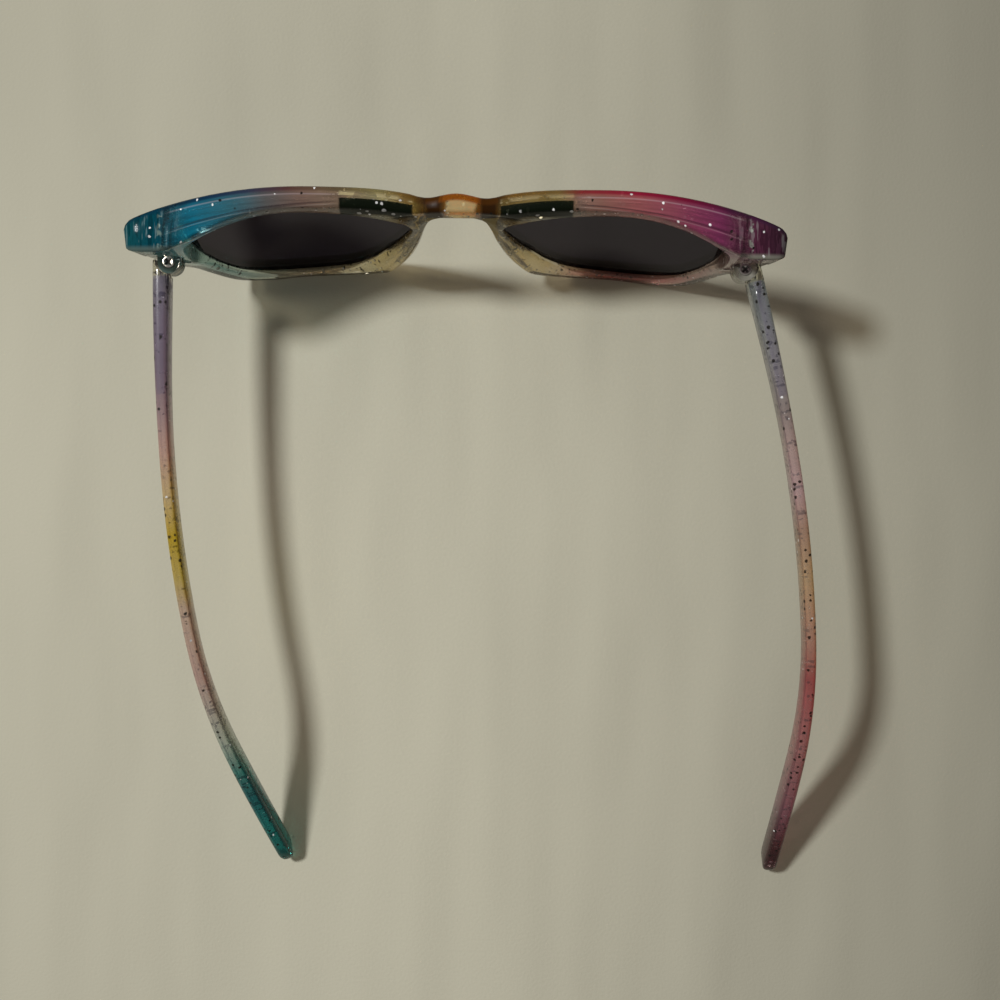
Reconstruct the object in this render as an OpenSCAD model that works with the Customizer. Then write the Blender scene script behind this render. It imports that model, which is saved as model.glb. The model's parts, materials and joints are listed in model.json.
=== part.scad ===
// Butterfly sunglasses, standing open on a table with the front towards +Y.
// Millimetres, +Z up. The origin is on the table under the middle of the whole
// object. "Left" and "right" are as seen by someone who looks along +Y, so
// that left is -X.

/* [Lenses] */
// Width of one lens between the rims
lens_w = 52; // [48:0.5:56]
// Height of one lens between the rims
lens_h = 41.6; // [38:0.2:46]
// Thickness of the lens
lens_t = 1.9; // [1.6:0.1:2.2]
// How far the lens reaches into its groove
lens_bite = 1; // [0.7:0.1:1.3]
// Extra reach of the lens tab beside the bridge
lens_tab = 1.5; // [0.8:0.1:1.8]
// Play around the edge of the lens
edge_play = 0.15; // [0.1:0.05:0.25]
// Play before and behind the lens
face_play = 0.08; // [0.06:0.01:0.15]

/* [Front] */
// Gap between the two lenses at the bridge
lens_gap = 19; // [17:0.5:22]
// Width of the rim below and beside a lens
rim_w = 4.4; // [4:0.1:5]
// Height of the brow above a lens
brow_w = 4; // [3.6:0.1:4.8]
// Depth of the rim and the bridge, front to back
rim_d = 4; // [3.8:0.1:4.6]
// Depth of the brow, front to back
brow_d = 4.9; // [4.6:0.1:5.4]
// Plastic in front of the lens
lip_d = 1; // [0.9:0.1:1.2]
// Height of the bridge
bridge_h = 4.6; // [4:0.1:5.4]
// How far the top of the bridge lies under the top of the brow
bridge_dip = 2.5; // [2:0.1:3.5]
// How far the middle and the two dips of the bridge wave to and fro
bridge_wave = 0.45; // [0.2:0.05:0.6]
// How far the face fills out towards the nose
nose_fill = 1; // [0.6:0.1:1.3]
// How far an end piece reaches past the lens
end_w = 11; // [10:0.5:12]
// Radius of the curve that the front follows
face_r = 108; // [98:1:130]
// Lean of the front, its foot behind its brow
face_tilt = 10; // [8:0.5:12]
// How far a nose pad stands behind the rim
pad_d = 2.6; // [2:0.1:3.2]
// Rounding of the front's outer edges at the face
face_round = 1.3; // [0.8:0.1:1.5]
// Extra rounding of the face at the end pieces
end_round = 0.5; // [0.3:0.1:1.2]
// How far an end piece tapers in towards its back
end_taper = 0.5; // [0.2:0.1:1]
// Rounding of the front's outer edges at the back
back_round = 0.8; // [0.5:0.1:1]

/* [Hinge] */
// Height of the middle of a hinge above the table
hinge_z = 35.5; // [34.5:0.1:36.5]
// Distance of a hinge pin in from the end of the front
hinge_in = 7; // [6.6:0.1:7.4]
// Distance of a hinge pin behind the foremost line of the front
hinge_back = 16; // [15.6:0.1:16.4]
// How far the back of an end piece lies ahead of the pin
end_back = 0.4; // [0.3:0.1:0.8]
// Radius of the three knuckles
knuckle_r = 2.6; // [2.4:0.05:2.7]
// Height of one knuckle
knuckle_h = 1.6; // [1.4:0.05:1.8]
// Gap between two knuckles
knuckle_gap = 0.1; // [0.05:0.01:0.15]
// Room around the knuckles for turning
turn_play = 0.3; // [0.2:0.05:0.4]
// Diameter of the screw's shank
screw_d = 1.4; // [1.2:0.05:1.5]
// Diameter of the screw's head
head_d = 2.7; // [2.5:0.05:2.9]
// Height of the screw's head
head_h = 0.8; // [0.6:0.05:1]
// How much of the head is sunk into the top knuckle
head_sunk = 0.5; // [0.3:0.05:0.6]
// Width of the nut across its flats
nut_af = 2.5; // [2.2:0.05:2.7]
// Height of the nut
nut_h = 1; // [0.8:0.05:1.1]
// Radial play of the screw where a knuckle turns on it
turn_fit = 0.05; // [0.02:0.01:0.08]
// Radial play of the screw in the nut, and of the head and nut in their seats
seat_fit = 0.05; // [0.03:0.01:0.08]

/* [Temples] */
// Reach of a temple behind its pin, along its root
temple_reach = 144; // [138:1:150]
// Height of a temple at its root
root_h = 7; // [6.4:0.1:7.4]
// Thickness of a temple at its root
root_t = 3.6; // [3.4:0.1:3.8]
// Height of a temple at its middle
mid_h = 6; // [5.4:0.1:7]
// Thickness of a temple at its middle
mid_t = 2.6; // [2.4:0.1:3]
// Height of the tip behind the ear
tip_h = 7; // [6:0.1:8]
// Thickness of the tip behind the ear
tip_t = 3.4; // [3:0.1:3.8]
// Distance from the pin to the middle of the temple's thickness
root_out = 1.9; // [1.8:0.05:2.1]
// Length of the level stretch behind the pin
level_len = 84; // [78:1:92]
// Length of the bend over the ear
bend_len = 30; // [20:1:36]
// How far the tip lies inside the line of the root
bow_in = 24.7; // [22:0.1:27]
// Turn of a temple outwards at its open stop
open_splay = 14.4; // [8:0.2:15]
// How far the left temple is swung in from its stop
left_swing = 14.8; // [0:0.2:20]

/* [Hidden] */
$fn = 48;

RIGHT = 1;
LEFT = -1;

// Heights of the front above the table
sill_z = rim_w;
front_h = rim_w + lens_h + brow_w;
bridge_top = front_h - bridge_dip;
bridge_foot = bridge_top - bridge_h;

// How far the seat of a temple's butt lies ahead of the hinge pin
seat_ahead = 1.2;

// Half length of the bar in the middle of the bridge
bar_half = 0.2 * lens_gap;

// Half width of the front, and the place of a hinge pin in it
front_half = lens_gap / 2 + lens_w + end_w;
hinge_x = front_half - hinge_in;
apex_u = lens_gap / 2 + 0.4 * lens_w;

// The eye rim in rows around the lens, from the top of the bridge down the
// nose side: the place on the lens edge as shares of the lens's width and
// height, then the step from there to the outer edge, in widths of the rim,
// the brow or the end piece. The first two rows end where the bar of the
// bridge begins.
TOP = 0;
FOOT = 1;
EYE = [
    [0.08, 0.91, 0, 0],
    [0.043, 0.897, 0, 0],
    [0.018, 0.82, 0, 0],
    [0.03, 0.725, -0.83, 0.44],
    [0.1, 0.5, -1.15, 0.1],
    [0.16, 0.355, -1.22, -0.7],
    [0.235, 0.19, -1.12, -1.1],
    [0.345, 0.055, -0.6, -1.12],
    [0.5, 0, -0.2, -1],
    [0.68, 0.005, 0.25, -1.03],
    [0.83, 0.09, 0.57, -0.88],
    [0.92, 0.27, 0.82, -0.38],
    [0.972, 0.46, 0.95, -0.2],
    [0.998, 0.63, 0.6, -0.32],
    [1.003, 0.77, 0.8, -0.1],
    [0.995, 0.9, 1.01, 0.5],
    [0.965, 0.98, 1.14, 1.12],
    [0.88, 1, 0.7, 0.98],
    [0.7, 0.99, 0.52, 0.96],
    [0.48, 0.97, -0.12, 0.95],
    [0.26, 0.945, -0.75, 1.02],
    [0.15, 0.928, -2.17, 1.01]];
FIRST_END_ROW = 13;
LAST_END_ROW = 17;
ROWS = len(EYE);
STEPS = 5;
STATIONS = ROWS * STEPS;

// Rows between which the lens carries its tab, and the nose pad's rows
TAB_FROM = 19.8;
TAB_TO = 1.5;
PAD_MID = 5;
PAD_SPAN = 2.7;

function cyclic(list, i) = list[(i + 2 * len(list)) % len(list)];

function smooth(t) =
    let (c = min(1, max(0, t)))
    c * c * (3 - 2 * c);

// A point on the smooth curve between b and c, with their neighbours a and d
function spline(a, b, c, d, t) =
    b + 0.5 * t * (c - a)
    + t * t * (a - 2.5 * b + 2 * c - 0.5 * d)
    + t * t * t * (1.5 * (b - c) + 0.5 * (d - a));

function lens_row(k) =
    let (r = cyclic(EYE, k))
    [lens_gap / 2 + r[0] * lens_w, sill_z + r[1] * lens_h];

function rim_row(k) =
    k == TOP || k == ROWS ? [bar_half, bridge_top] :
    k == FOOT ? [bar_half, bridge_foot] :
    k == ROWS + 1 ? [bar_half / 3, bridge_top] :
    k == 2 ? [0.315 * lens_gap, bridge_foot - 0.1 * lens_gap] :
    let (
        r = EYE[k],
        is_end = k >= FIRST_END_ROW && k <= LAST_END_ROW,
        across = is_end ? end_w : k > LAST_END_ROW ? brow_w : rim_w,
        up = k < FIRST_END_ROW ? rim_w : brow_w)
    lens_row(k) + [r[2] * across, r[3] * up];

// Points down the end of the bar between its rounded edges
function bar_end_point(i) =
    i == TOP ? rim_row(TOP) :
    let (
        edge = 1.1 * face_round,
        t = (i - 1) / (STEPS - 2))
    (1 - t) * (rim_row(TOP) - [0, edge]) + t * (rim_row(FOOT) + [0, edge]);

// The two outlines of an eye rim, as [distance from the middle plane, height].
// The outer one ends flat where the rim stands on the table.
LENS_EDGE = [for (i = [0:STATIONS - 1])
    let (k = floor(i / STEPS), t = (i % STEPS) / STEPS)
    spline(lens_row(k - 1), lens_row(k), lens_row(k + 1), lens_row(k + 2), t)];

RIM_EDGE = [for (i = [0:STATIONS - 1])
    let (
        k = floor(i / STEPS),
        t = (i % STEPS) / STEPS,
        p = k == TOP
            ? bar_end_point(i)
            : spline(k == FOOT ? [bar_half / 3, bridge_foot] : rim_row(k - 1),
                     rim_row(k), rim_row(k + 1), rim_row(k + 2), t))
    [p[0], max(0, p[1])]];

// The direction that points out of a closed outline at its point i
function outward(list, i) =
    let (d = cyclic(list, i + 1) - cyclic(list, i - 1))
    [d[1], -d[0]] / norm(d);

function rim_outward(i) =
    i == TOP * STEPS ? [0, 1] :
    i == FOOT * STEPS ? [0, -1] :
    outward(RIM_EDGE, i);

function on_bar(i) = i > TOP * STEPS && i < FOOT * STEPS;

// How deep the groove is at station i, and how deep the lens reaches into it
function tab_at(i) = i / STEPS > TAB_FROM || i / STEPS < TAB_TO ? lens_tab : 0;
function bite_at(i) = lens_bite + tab_at(i);

// How much of a nose pad there is at station i, from 0 to 1
function pad_at(i) = smooth(1 - abs(i / STEPS - PAD_MID) / PAD_SPAN);

// How far the curved sheet of a lens lies behind the foremost line
function sheet_back(u) =
    let (off = u - apex_u)
    (face_r - sqrt(face_r * face_r - off * off)) / cos(face_tilt);

// The face of the front follows that sheet, but fills out towards the nose
// and waves across the bridge
function wave(u) =
    let (dip = 0.33 * lens_gap)
    u < 1.5 * dip ? bridge_wave * cos(180 * u / dip) : 0;

function face_back(u) =
    let (fill = nose_fill * smooth((1.05 * apex_u - u) / (0.8 * apex_u)))
    sheet_back(max(u, 0.45 * lens_gap)) - fill - wave(u);

function lean(z) = tan(face_tilt) * (front_h - z);

// Depth of the front at a place: a slim rim, deeper at the brow, that grows
// into the end piece, whose back stands upright where the temple meets it
function depth_at(u, z) =
    let (
        brow = smooth((z / front_h - 0.6) / 0.3) * smooth((u / lens_gap - 0.3) / 0.4),
        slim = rim_d + (brow_d - rim_d) * brow,
        growth = min(1, max(0, (u / hinge_x - 0.5) / 0.47)),
        out = pow(growth, 3) * smooth((z / hinge_z - 0.4) / 0.5),
        upright = hinge_back - end_back - face_back(u) - lean(z))
    slim + out * max(0, upright - slim);

function end_share(u) = smooth((u - front_half + 0.7 * end_w) / (0.55 * end_w));

// How much of the bridge's own shape there is at station i, from 0 to 1
function bridge_at(i) =
    let (k = i / STEPS)
    k <= FOOT ? 1 :
    k < FOOT + 2 ? smooth((FOOT + 1.5 - k) / 1.5) :
    smooth(k - ROWS + 1);

// The section of the rim at station i, as points of the front's half
GROOVE_FRONT = lip_d - face_play;
GROOVE_BACK = lip_d + lens_t + face_play;
ROUND_STEPS = 3;
EDGE_BREAK = 0.4;

function sheet_point(p, d) = [p[0], -sheet_back(p[0]) - lean(p[1]) - d, p[1]];
function face_point(p, d) = [p[0], -face_back(p[0]) - lean(p[1]) - d, p[1]];

// Points of the face or the back between the inner and the outer edge, at
// these shares of the way in. Beside the bridge they follow its waves.
WEB_SHARES = [0.3, 0.65];
function web_point(edge, inner, share, d) =
    let (p = (1 - share) * edge + share * inner)
    face_point(p, d > 0 ? d + wave(p[0]) : 0);

// The rounded outer edge at a point of the outline, from the back over to
// the face
function outer_edge(outer, out_dir, d, pad, taper, r) =
    concat(
        [for (k = [0:ROUND_STEPS])
            let (
                turn = 90 * k / ROUND_STEPS,
                off = taper + back_round * (1 - sin(turn)) + 0.5 * pad * rim_w * cos(turn),
                back = d - back_round * (1 - cos(turn)) + pad * pad_d * cos(0.8 * turn))
            face_point(outer - off * out_dir, back)],
        [for (k = [ROUND_STEPS:-1:0])
            let (turn = 90 * k / ROUND_STEPS)
            face_point(outer - r * (1 - sin(turn)) * out_dir, r * (1 - cos(turn)))]);

function rim_section(i) =
    let (
        inner = LENS_EDGE[i],
        in_dir = outward(LENS_EDGE, i),
        outer = RIM_EDGE[i],
        out_dir = on_bar(i) ? [0, 0] : rim_outward(i),
        d = depth_at(outer[0], outer[1]),
        d_in = depth_at(inner[0], inner[1]),
        pad = pad_at(i),
        groove = bite_at(i) + edge_play,
        r = face_round + end_round * end_share(outer[0]),
        taper = end_taper * end_share(outer[0]),
        edge = outer_edge(outer, out_dir, d + wave(outer[0]), pad, taper, r),
        back_edge = outer - (taper + back_round + 0.5 * pad * rim_w) * out_dir,
        face_edge = outer - r * out_dir,
        back_inner = sheet_point(inner + EDGE_BREAK * in_dir, d_in + 0.3 * pad * pad_d),
        face_inner = sheet_point(inner + EDGE_BREAK * in_dir, 0),
        bridge = bridge_at(i))
    concat(
        [sheet_point(inner, EDGE_BREAK),
         sheet_point(inner, GROOVE_FRONT),
         sheet_point(inner + groove * in_dir, GROOVE_FRONT),
         sheet_point(inner + groove * in_dir, GROOVE_BACK),
         sheet_point(inner, GROOVE_BACK),
         sheet_point(inner, d_in - EDGE_BREAK),
         back_inner],
        [for (share = [WEB_SHARES[1], WEB_SHARES[0]])
            (1 - bridge) * (share * back_inner + (1 - share) * edge[0])
            + bridge * web_point(back_edge, inner, share, d)],
        edge,
        [for (share = WEB_SHARES)
            (1 - bridge) * (share * face_inner + (1 - share) * edge[len(edge) - 1])
            + bridge * web_point(face_edge, inner, share, 0)],
        [face_inner]);

RIM_SECTIONS = [for (i = [0:STATIONS - 1]) rim_section(i)];
SIDES = len(RIM_SECTIONS[0]);
FIRST_OUTER = 7 + len(WEB_SHARES);
LAST_OUTER = FIRST_OUTER + 2 * ROUND_STEPS + 1;

// Faces between the sections, leaving out the end of the bar
RIM_FACES = [for (i = [0:STATIONS - 1])
    for (j = [0:SIDES - 1])
        if (i >= FOOT * STEPS || j < FIRST_OUTER || j >= LAST_OUTER)
            let (
                a = i * SIDES + j,
                b = i * SIDES + (j + 1) % SIDES,
                c = (i + 1) % STATIONS * SIDES + (j + 1) % SIDES,
                d = (i + 1) % STATIONS * SIDES + j)
            for (face = [[a, b, c], [a, c, d]]) face];

// The bar of the bridge, in rings from its end to the middle plane. Its first
// ring is made of points of the rim.
BAR_RINGS = 4;
BAR_ORDER = concat(
    [for (j = [FIRST_OUTER:LAST_OUTER]) [TOP * STEPS, j]],
    [for (i = [TOP * STEPS + 1:FOOT * STEPS - 1]) [i, LAST_OUTER]],
    [for (j = [LAST_OUTER:-1:FIRST_OUTER]) [FOOT * STEPS, j]],
    [for (i = [FOOT * STEPS - 1:-1:TOP * STEPS + 1]) [i, FIRST_OUTER]]);
BAR_SIDES = len(BAR_ORDER);

function bar_point(u, i, j) =
    let (
        z = RIM_EDGE[i][1],
        out_dir = on_bar(i) ? [0, 0] : rim_outward(i),
        edge = outer_edge([u, z], out_dir, depth_at(u, z) + wave(u), 0, 0, face_round))
    edge[j - FIRST_OUTER];

BAR_POINTS = [for (ring = [1:BAR_RINGS - 1])
    for (place = BAR_ORDER)
        bar_point(bar_half * (1 - ring / (BAR_RINGS - 1)), place[0], place[1])];

function bar_index(ring, k) =
    ring == 0
        ? BAR_ORDER[k][0] * SIDES + BAR_ORDER[k][1]
        : STATIONS * SIDES + (ring - 1) * BAR_SIDES + k;

BAR_FACES = [for (ring = [0:BAR_RINGS - 2])
    for (k = [0:BAR_SIDES - 1])
        let (
            a = bar_index(ring, k),
            b = bar_index(ring, (k + 1) % BAR_SIDES),
            c = bar_index(ring + 1, (k + 1) % BAR_SIDES),
            d = bar_index(ring + 1, k))
        for (face = [[a, b, c], [a, c, d]]) face];

HALF_POINTS = concat([for (section = RIM_SECTIONS) for (p = section) p], BAR_POINTS);
HALF_FACES = concat(RIM_FACES, BAR_FACES);

function flipped(face) = [face[2], face[1], face[0]];

// A temple, with its pin at the origin and its root running towards -Y.
// "along" is the distance behind the pin.
function ear_fall(along) =
    let (into = along - level_len)
    into <= 0 ? 0 :
    into < bend_len ? into * into / (2 * bend_len) :
    into - bend_len / 2;

// Share of the bow that a temple has taken, slow at the root and at the tip
BOW_POWER = 2.95;
BOW_EASE = 0.9;
function bow_share(along) =
    let (t = max(along, 0) / temple_reach)
    pow(t, BOW_POWER) * (1 + BOW_EASE * (1 - t));

function temple_mid(along, drop) =
    [root_out - bow_in * bow_share(along),
     -along,
     -drop * ear_fall(along) / ear_fall(temple_reach)];

function temple_h(along) =
    root_h + (mid_h - root_h) * smooth(along / (0.5 * level_len))
    + (tip_h - mid_h) * smooth((along - level_len) / (temple_reach - level_len - 0.5 * bend_len));

function temple_t(along) =
    root_t + (mid_t - root_t) * smooth(along / (0.5 * level_len))
    + (tip_t - mid_t) * smooth((along - level_len) / (temple_reach - level_len - 0.5 * bend_len));

// How much of the section is left where the tip rounds off
function tip_share(along, radius) =
    let (over = (along - temple_reach + radius) / radius)
    over <= 0 ? 1 : sqrt(max(0, 1 - over * over));

SECTION_ROUND = 0.34;
CORNER_POINTS = 4;
SECTION_SIDES = 4 * CORNER_POINTS;
function section_point(k, h, t) =
    let (
        corner = floor(k / CORNER_POINTS),
        r = SECTION_ROUND * t,
        turn = 90 * (corner + (k % CORNER_POINTS) / (CORNER_POINTS - 1)),
        side = corner == 0 || corner == 3 ? 1 : -1,
        top = corner < 2 ? 1 : -1)
    [side * (t / 2 - r) + r * cos(turn), top * (h / 2 - r) + r * sin(turn)];

function temple_ring(along, drop) =
    let (
        c = temple_mid(along, drop),
        ahead = temple_mid(along + 0.1 * tip_h, drop) - temple_mid(along - 0.1 * tip_h, drop),
        run = ahead / norm(ahead),
        across = cross([0, 0, 1], run) / norm(cross([0, 0, 1], run)),
        rise = cross(run, across),
        h = temple_h(along) * tip_share(along, 0.55 * tip_h),
        t = temple_t(along) * tip_share(along, 0.4 * tip_h))
    [for (k = [0:SECTION_SIDES - 1])
        let (q = section_point(k, max(h, 0.3 * tip_h), max(t, 0.3 * tip_t)))
        c + q[0] * across + q[1] * rise];

// Places of the rings: long steps on the straight, short ones in the tip
ROOT_START = -3;
RINGS_ALONG = concat(
    [for (k = [0:17]) ROOT_START + (level_len - ROOT_START) * k / 18],
    [for (k = [0:17]) level_len + (temple_reach - 0.6 * tip_h - level_len) * k / 18],
    [for (k = [0:6]) temple_reach - 0.6 * tip_h * (1 - sin(15 * k))]);

function temple_points(drop) =
    [for (along = RINGS_ALONG) for (p = temple_ring(along, drop)) p];

function lowest(points) = min([for (p = points) p[2]]);

// The drop that sets the tip down on the table, found in two corrections
function better_drop(drop) = drop + hinge_z + lowest(temple_points(drop));
EAR_DROP = better_drop(better_drop(hinge_z - tip_h / 2));
TEMPLE_POINTS = temple_points(EAR_DROP);

TEMPLE_FACES = concat(
    [[for (k = [0:SECTION_SIDES - 1]) k]],
    [for (i = [0:len(RINGS_ALONG) - 2])
        for (k = [0:SECTION_SIDES - 1])
            let (
                a = i * SECTION_SIDES + k,
                b = i * SECTION_SIDES + (k + 1) % SECTION_SIDES,
                c = a + SECTION_SIDES,
                d = b + SECTION_SIDES)
            for (face = [[a, c, d], [a, d, b]]) face],
    [[for (k = [SECTION_SIDES - 1:-1:0])
        (len(RINGS_ALONG) - 1) * SECTION_SIDES + k]]);

// Turns of the temples at rest, outwards from straight back
right_turn = open_splay;
left_turn = open_splay - left_swing;

// Place of the whole, so that the origin is under its middle
function turned(p, angle) =
    [p[0] * cos(angle) - p[1] * sin(angle), p[0] * sin(angle) + p[1] * cos(angle)];
function reach_out(angle) = max([for (p = TEMPLE_POINTS) turned(p, angle)[0]]);
function reach_back(angle) = min([for (p = TEMPLE_POINTS) turned(p, angle)[1]]);

right_side = max(front_half, hinge_x + reach_out(right_turn));
left_side = max(front_half, hinge_x + reach_out(left_turn));
rear_end = -hinge_back + min(reach_back(right_turn), reach_back(left_turn));
middle_x = (left_side - right_side) / 2;
foremost = max([for (p = HALF_POINTS) p[1]]);
apex_y = -(rear_end + foremost) / 2;

// Levels of the hinge
barrel_h = 3 * knuckle_h + 2 * knuckle_gap;
barrel_top = hinge_z + barrel_h / 2;
barrel_foot = hinge_z - barrel_h / 2;
turn_r = knuckle_r + turn_play;
stop_gap = 0.06;
OVERLAP = 0.5;

module on_side(side) {
    if (side == LEFT)
        mirror([1, 0, 0]) children();
    else
        children();
}

// Puts its children on a hinge, with the pin's middle at the origin
module at_hinge(side) {
    translate([middle_x, apex_y - hinge_back, hinge_z])
        on_side(side)
            translate([hinge_x, 0, 0])
                children();
}

module front_shell() {
    polyhedron(
        concat(HALF_POINTS, [for (p = HALF_POINTS) [-p[0], p[1], p[2]]]),
        concat(
            [for (face = HALF_FACES) flipped(face)],
            [for (face = HALF_FACES) face + len(HALF_POINTS) * [1, 1, 1]]),
        convexity = 6);
}

// The seat that a temple's butt stops against, cut square into the end piece
module temple_seat() {
    room = 0.06 * root_h;
    inside = knuckle_r + 0.6 * root_t;
    translate([-inside, seat_ahead - hinge_back, -root_h / 2 - room])
        cube([inside + 2 * hinge_in, hinge_back, root_h + 2 * room]);
}

module outer_knuckles() {
    for (z = [-barrel_h / 2, barrel_h / 2 - knuckle_h]) {
        translate([0, 0, z])
            cylinder(h = knuckle_h, r = knuckle_r);
        translate([-knuckle_r, 0, z])
            cube([2 * knuckle_r, seat_ahead + OVERLAP, knuckle_h]);
    }
}

module knuckle_slot() {
    slot_h = knuckle_h + 2 * knuckle_gap;
    translate([0, 0, -slot_h / 2])
        cylinder(h = slot_h, r = turn_r);
}

module nut_shape(play, h) {
    cylinder(h = h, d = (nut_af + 2 * play) / cos(30), $fn = 6);
}

module pin_bores() {
    translate([0, 0, -barrel_h])
        cylinder(h = 2 * barrel_h, d = screw_d + 2 * seat_fit);
    translate([0, 0, barrel_h / 2 - head_sunk])
        cylinder(h = head_sunk + 1, d = head_d + 2 * seat_fit);
    translate([0, 0, -barrel_h / 2 - 1])
        nut_shape(seat_fit, nut_h + 1);
}

module front_frame() {
    color("#b8607c")
        difference() {
            union() {
                difference() {
                    translate([middle_x, apex_y, 0])
                        front_shell();
                    for (side = [LEFT, RIGHT])
                        at_hinge(side)
                            temple_seat();
                }
                for (side = [LEFT, RIGHT])
                    at_hinge(side)
                        outer_knuckles();
            }
            for (side = [LEFT, RIGHT])
                at_hinge(side) {
                    knuckle_slot();
                    pin_bores();
                }
        }
}

// A solid that lies behind the curved sheet, moved back by d
module behind_sheet(d) {
    tall = 2 * front_h;
    translate([apex_u, -d - lean(0), 0])
        rotate([-face_tilt, 0, 0])
            translate([0, -face_r, -tall / 2])
                cylinder(h = tall, r = face_r, $fn = 360);
}

module lens_blank() {
    rotate([90, 0, 0])
        linear_extrude(height = 3 * hinge_back, center = true)
            polygon([for (i = [0:STATIONS - 1])
                LENS_EDGE[i] + bite_at(i) * outward(LENS_EDGE, i)]);
}

module lens(side) {
    color("#4a4650")
        translate([middle_x, apex_y, 0])
            on_side(side)
                intersection() {
                    lens_blank();
                    difference() {
                        behind_sheet(lip_d);
                        behind_sheet(lip_d + lens_t);
                    }
                }
}

module left_lens() {
    lens(LEFT);
}

module right_lens() {
    lens(RIGHT);
}

// The middle knuckle and the web that carries it
module temple_knuckle() {
    translate([0, 0, -knuckle_h / 2]) {
        cylinder(h = knuckle_h, r = knuckle_r);
        translate([0, -turn_r - OVERLAP, 0])
            cube([root_out, turn_r + OVERLAP, knuckle_h]);
    }
}

// Room in the root for the knuckles of the front
module knuckle_room() {
    translate([0, 0, -root_h])
        cylinder(h = 2 * root_h, r = turn_r);
    translate([-root_t, -turn_r, -root_h])
        cube([root_t, 2 * turn_r, 2 * root_h]);
}

// Cuts the butt so that it lies flat on its seat at the open stop
module butt_cut() {
    wide = 4 * root_h;
    rotate([0, 0, -open_splay])
        translate([-wide / 2, seat_ahead - stop_gap, -root_h])
            cube([wide, wide, 2 * root_h]);
}

module temple_solid() {
    difference() {
        union() {
            difference() {
                polyhedron(TEMPLE_POINTS, TEMPLE_FACES, convexity = 4);
                knuckle_room();
                butt_cut();
            }
            temple_knuckle();
        }
        translate([0, 0, -knuckle_h])
            cylinder(h = 2 * knuckle_h, d = screw_d + 2 * turn_fit);
    }
}

module left_temple() {
    color("#9c5a86")
        at_hinge(LEFT)
            rotate([0, 0, left_turn])
                temple_solid();
}

module right_temple() {
    color("#a8705e")
        at_hinge(RIGHT)
            rotate([0, 0, right_turn])
                temple_solid();
}

// A pan head screw with a cross recess
module hinge_screw() {
    recess_w = 0.2 * head_d;
    recess_l = 0.68 * head_d;
    head_z = barrel_h / 2 - head_sunk;
    difference() {
        union() {
            translate([0, 0, -barrel_h / 2])
                cylinder(h = barrel_h / 2 + head_z, d = screw_d);
            translate([0, 0, head_z])
                cylinder(h = head_h, d = head_d);
        }
        for (turn = [45, 135])
            rotate([0, 0, turn])
                translate([-recess_l / 2, -recess_w / 2, head_z + 0.45 * head_h])
                    cube([recess_l, recess_w, head_h]);
    }
}

module left_hinge_screw() {
    color("silver")
        at_hinge(LEFT)
            hinge_screw();
}

module right_hinge_screw() {
    color("silver")
        at_hinge(RIGHT)
            hinge_screw();
}

module hinge_nut() {
    translate([0, 0, -barrel_h / 2])
        difference() {
            nut_shape(0, nut_h - seat_fit);
            translate([0, 0, -1])
                cylinder(h = nut_h + 2, d = screw_d + 2 * seat_fit);
        }
}

module left_hinge_nut() {
    color("gray")
        at_hinge(LEFT)
            hinge_nut();
}

module right_hinge_nut() {
    color("gray")
        at_hinge(RIGHT)
            hinge_nut();
}

front_frame();
left_lens();
right_lens();
left_temple();
right_temple();
left_hinge_screw();
right_hinge_screw();
left_hinge_nut();
right_hinge_nut();
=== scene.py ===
import json
import math
import random

import bmesh
import bpy
from mathutils import Matrix, Vector
from mathutils.bvhtree import BVHTree


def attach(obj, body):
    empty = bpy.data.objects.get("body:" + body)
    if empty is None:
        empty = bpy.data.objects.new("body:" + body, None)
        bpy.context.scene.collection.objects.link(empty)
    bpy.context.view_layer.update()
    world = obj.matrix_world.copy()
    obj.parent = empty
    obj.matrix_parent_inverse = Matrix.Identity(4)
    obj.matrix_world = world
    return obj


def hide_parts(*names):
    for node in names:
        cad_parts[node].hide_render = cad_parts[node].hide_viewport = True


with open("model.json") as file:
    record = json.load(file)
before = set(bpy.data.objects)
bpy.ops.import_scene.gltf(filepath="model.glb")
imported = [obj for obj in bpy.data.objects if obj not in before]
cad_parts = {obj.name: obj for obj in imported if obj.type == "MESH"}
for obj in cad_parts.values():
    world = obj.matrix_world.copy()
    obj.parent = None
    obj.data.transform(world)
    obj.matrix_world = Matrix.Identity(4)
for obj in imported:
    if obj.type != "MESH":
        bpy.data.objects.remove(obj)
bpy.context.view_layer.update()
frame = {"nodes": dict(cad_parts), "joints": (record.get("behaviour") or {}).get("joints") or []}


MM = 0.001

# The front's curved sheet and the temples' lines, with the values of part.scad
FACE_R = 108 * MM
FACE_TILT = math.radians(10)
LENS_GAP = 19 * MM
LENS_W = 52 * MM
APEX_U = LENS_GAP / 2 + 0.4 * LENS_W
STRAIGHT_U = 0.45 * LENS_GAP
WAVE_U = 0.33 * LENS_GAP
NOSE_FILL = 1 * MM
BRIDGE_WAVE = 0.45 * MM
FRONT_H = 50 * MM
HINGE_BACK = 16 * MM
ROOT_OUT = 1.9 * MM
REACH = 144 * MM
BOW_IN = 24.7 * MM
BOW_POWER = 2.95
BOW_EASE = 0.9
PINS = {"left": frame["joints"][0]["pos_m"], "right": frame["joints"][1]["pos_m"]}
SIDES = {"left": -1, "right": 1}
TURNS = {"left": math.radians(-0.4), "right": math.radians(14.4)}
MIDDLE_X = (PINS["left"][0] + PINS["right"][0]) / 2
APEX_Y = PINS["left"][1] + HINGE_BACK

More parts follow.
